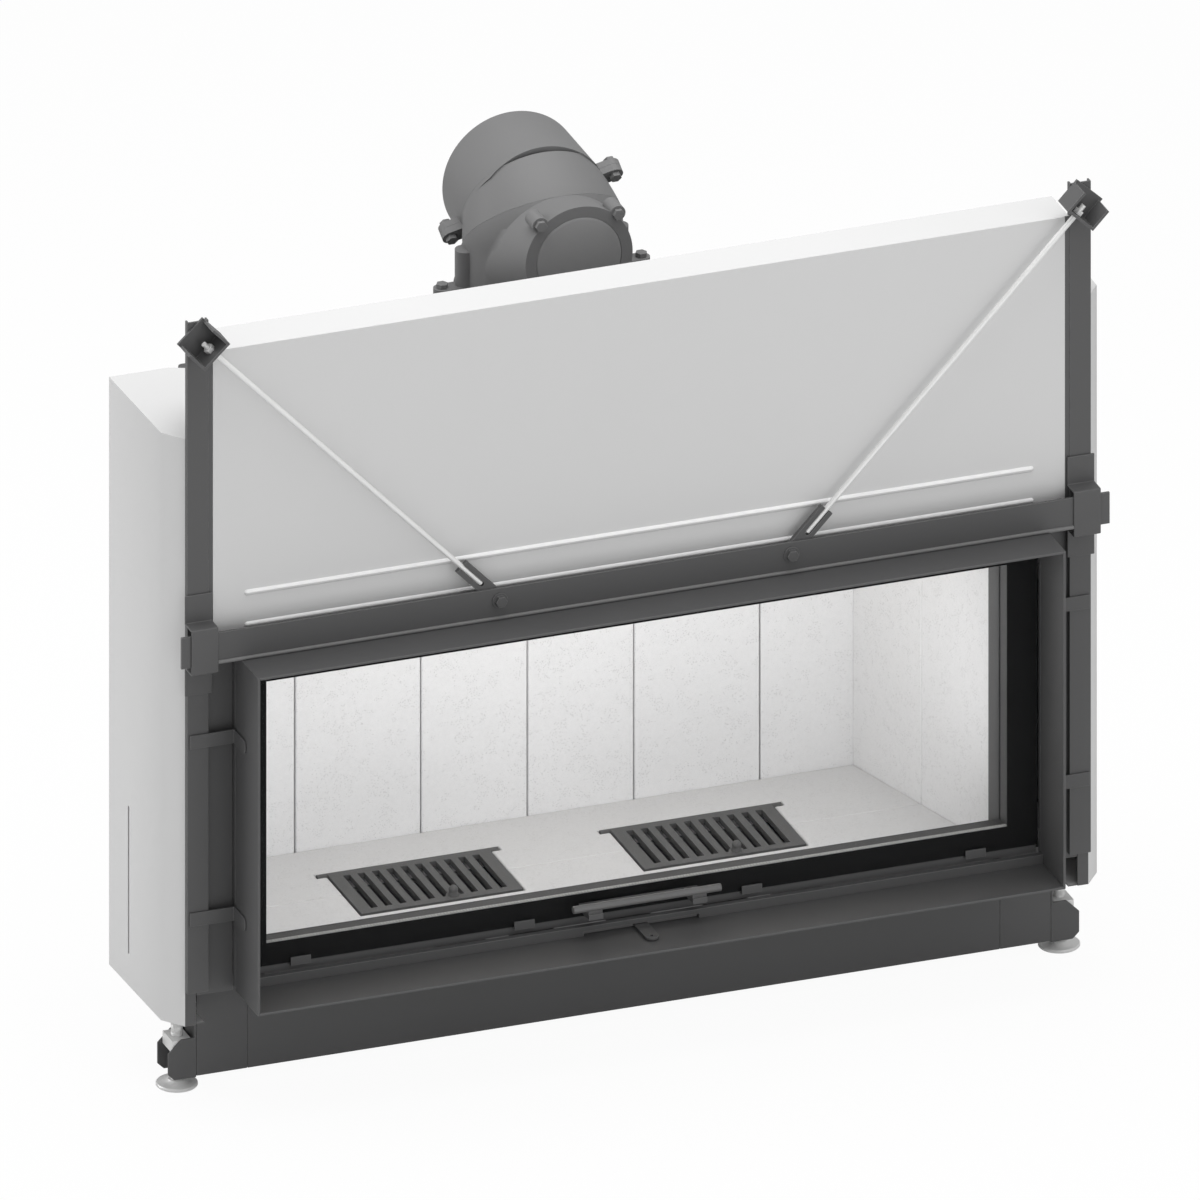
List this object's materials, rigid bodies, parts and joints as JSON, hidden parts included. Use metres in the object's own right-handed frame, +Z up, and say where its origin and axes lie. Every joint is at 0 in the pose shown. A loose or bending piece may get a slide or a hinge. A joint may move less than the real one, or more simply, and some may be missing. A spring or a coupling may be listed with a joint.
{
  "type": "fireplace insert",
  "caption": "Wide wood-burning fireplace insert with a lift-up glass door, counterweights in side casings, brick lining, tilting grates and a swivelling cast flue elbow.",
  "frame": {"origin": "middle of the floor under the insert, at the centre of its overall width and depth", "axes": "+X to the right seen from the front, +Y to the back, +Z up; the door faces -Y"},
  "size_m": [1.456, 0.63, 1.2666],
  "materials": {
    "dark_paint": "matt dark grey heat-proof paint on steel",
    "cast_iron": "matt dark grey paint on sand-cast iron",
    "pale_sheet": "pale grey coated sheet steel",
    "zinc_steel": "bright zinc-plated steel",
    "fire_brick": "pale fire brick with a fine speckle",
    "insulation": "pressed vermiculite board",
    "door_glass": "clear glass ceramic",
    "glass_print": "black fired print on the back of the glass",
    "steel_rope": "stranded steel wire rope",
    "fibre_seal": "white glass-fibre sealing rope"
  },
  "bodies": {
    "body": {"front_frame": "dark_paint", "posts": "dark_paint", "front_plates": "dark_paint", "lintel_rail": "dark_paint", "rail_clips": "dark_paint", "hood_panel": "pale_sheet", "hood_shell": "pale_sheet", "tie_rods": "zinc_steel", "tie_forks": "dark_paint", "corner_brackets": "dark_paint", "brace_fasteners": "dark_paint", "frame_straps": "dark_paint", "firebox_shell": "dark_paint", "firebox_floor": "dark_paint", "firebox_top": "dark_paint", "firebox_front": "dark_paint", "back_bricks": "fire_brick", "back_insulation": "insulation", "side_bricks": "fire_brick", "floor_bricks": "fire_brick", "baffle_plate": "insulation", "ash_pans": "dark_paint", "side_casing_left": "pale_sheet", "side_casing_right": "pale_sheet", "sill": "dark_paint", "air_duct": "dark_paint", "air_chamber": "dark_paint", "plinth": "dark_paint", "foot_brackets": "dark_paint", "foot_nuts": "zinc_steel", "lift_guides": "zinc_steel", "lift_ropes": "steel_rope", "dome_base_ring": "cast_iron"},
    "door": {"door_glass": "door_glass", "glass_mask": "glass_print", "door_frame": "dark_paint", "door_seals": "fibre_seal", "glass_clips": "dark_paint", "handle_bar": "dark_paint", "handle_brackets": "dark_paint", "rope_anchors": "zinc_steel", "guide_shoes": "zinc_steel"},
    "counterweight_left": {"counterweight_left": "dark_paint"},
    "counterweight_right": {"counterweight_right": "dark_paint"},
    "lift_shaft": {"lift_pulleys": "zinc_steel", "sync_shaft": "zinc_steel"},
    "air_control": {"air_lever": "dark_paint", "air_slide": "dark_paint"},
    "grate_left": {"grate_left": "cast_iron"},
    "grate_right": {"grate_right": "cast_iron"},
    "foot_front_left": {"foot_front_left": "zinc_steel"},
    "foot_front_right": {"foot_front_right": "zinc_steel"},
    "foot_rear_left": {"foot_rear_left": "zinc_steel"},
    "foot_rear_right": {"foot_rear_right": "zinc_steel"},
    "flue_dome": {"dome_casting": "cast_iron", "hatch_lid": "cast_iron", "dome_bolts": "cast_iron"},
    "flue_elbow": {"elbow_neck": "cast_iron", "outlet_collar": "cast_iron", "collar_bolts": "cast_iron"}
  },
  "joints": [
    {"name": "door_lift", "type": "slide", "parent": "body", "child": "door", "axis": [0, 0, 1], "range_m": [0, 0.46], "deforming": ["lift_ropes"]},
    {"name": "counterweight_left_drop", "type": "slide", "parent": "body", "child": "counterweight_left", "axis": [0, 0, 1], "range_m": [-0.46, 0]},
    {"name": "counterweight_right_drop", "type": "slide", "parent": "body", "child": "counterweight_right", "axis": [0, 0, 1], "range_m": [-0.46, 0]},
    {"name": "pulley_turn", "type": "hinge", "parent": "body", "child": "lift_shaft", "pos_m": [0, -0.154, 1.15], "axis": [1, 0, 0], "range_deg": [-1020, 0]},
    {"name": "air_adjust", "type": "slide", "parent": "body", "child": "air_control", "axis": [1, 0, 0], "range_m": [-0.07, 0.07]},
    {"name": "grate_left_lift", "type": "hinge", "parent": "body", "child": "grate_left", "pos_m": [-0.219, 0.155, 0.151], "axis": [-1, 0, 0], "range_deg": [0, 80]},
    {"name": "grate_right_lift", "type": "hinge", "parent": "body", "child": "grate_right", "pos_m": [0.219, 0.155, 0.151], "axis": [-1, 0, 0], "range_deg": [0, 80]},
    {"name": "foot_front_left_height", "type": "slide", "parent": "body", "child": "foot_front_left", "axis": [0, 0, -1], "range_m": [0, 0.05]},
    {"name": "foot_front_right_height", "type": "slide", "parent": "body", "child": "foot_front_right", "axis": [0, 0, -1], "range_m": [0, 0.05]},
    {"name": "foot_rear_left_height", "type": "slide", "parent": "body", "child": "foot_rear_left", "axis": [0, 0, -1], "range_m": [0, 0.05]},
    {"name": "foot_rear_right_height", "type": "slide", "parent": "body", "child": "foot_rear_right", "axis": [0, 0, -1], "range_m": [0, 0.05]},
    {"name": "dome_swivel", "type": "hinge", "parent": "body", "child": "flue_dome", "pos_m": [0, 0.186, 1.03], "axis": [0, 0, 1], "range_deg": [-180, 180]},
    {"name": "elbow_swivel", "type": "hinge", "parent": "flue_dome", "child": "flue_elbow", "pos_m": [0, 0.186, 1.124], "axis": [0, 0.7071, 0.7071], "range_deg": [-180, 180]}
  ],
  "couplings": [
    {"joint": "counterweight_left_drop", "follows": "door_lift", "ratio": -1},
    {"joint": "counterweight_right_drop", "follows": "door_lift", "ratio": -1},
    {"joint": "pulley_turn", "follows": "door_lift", "rad_per_m": -38.462}
  ]
}
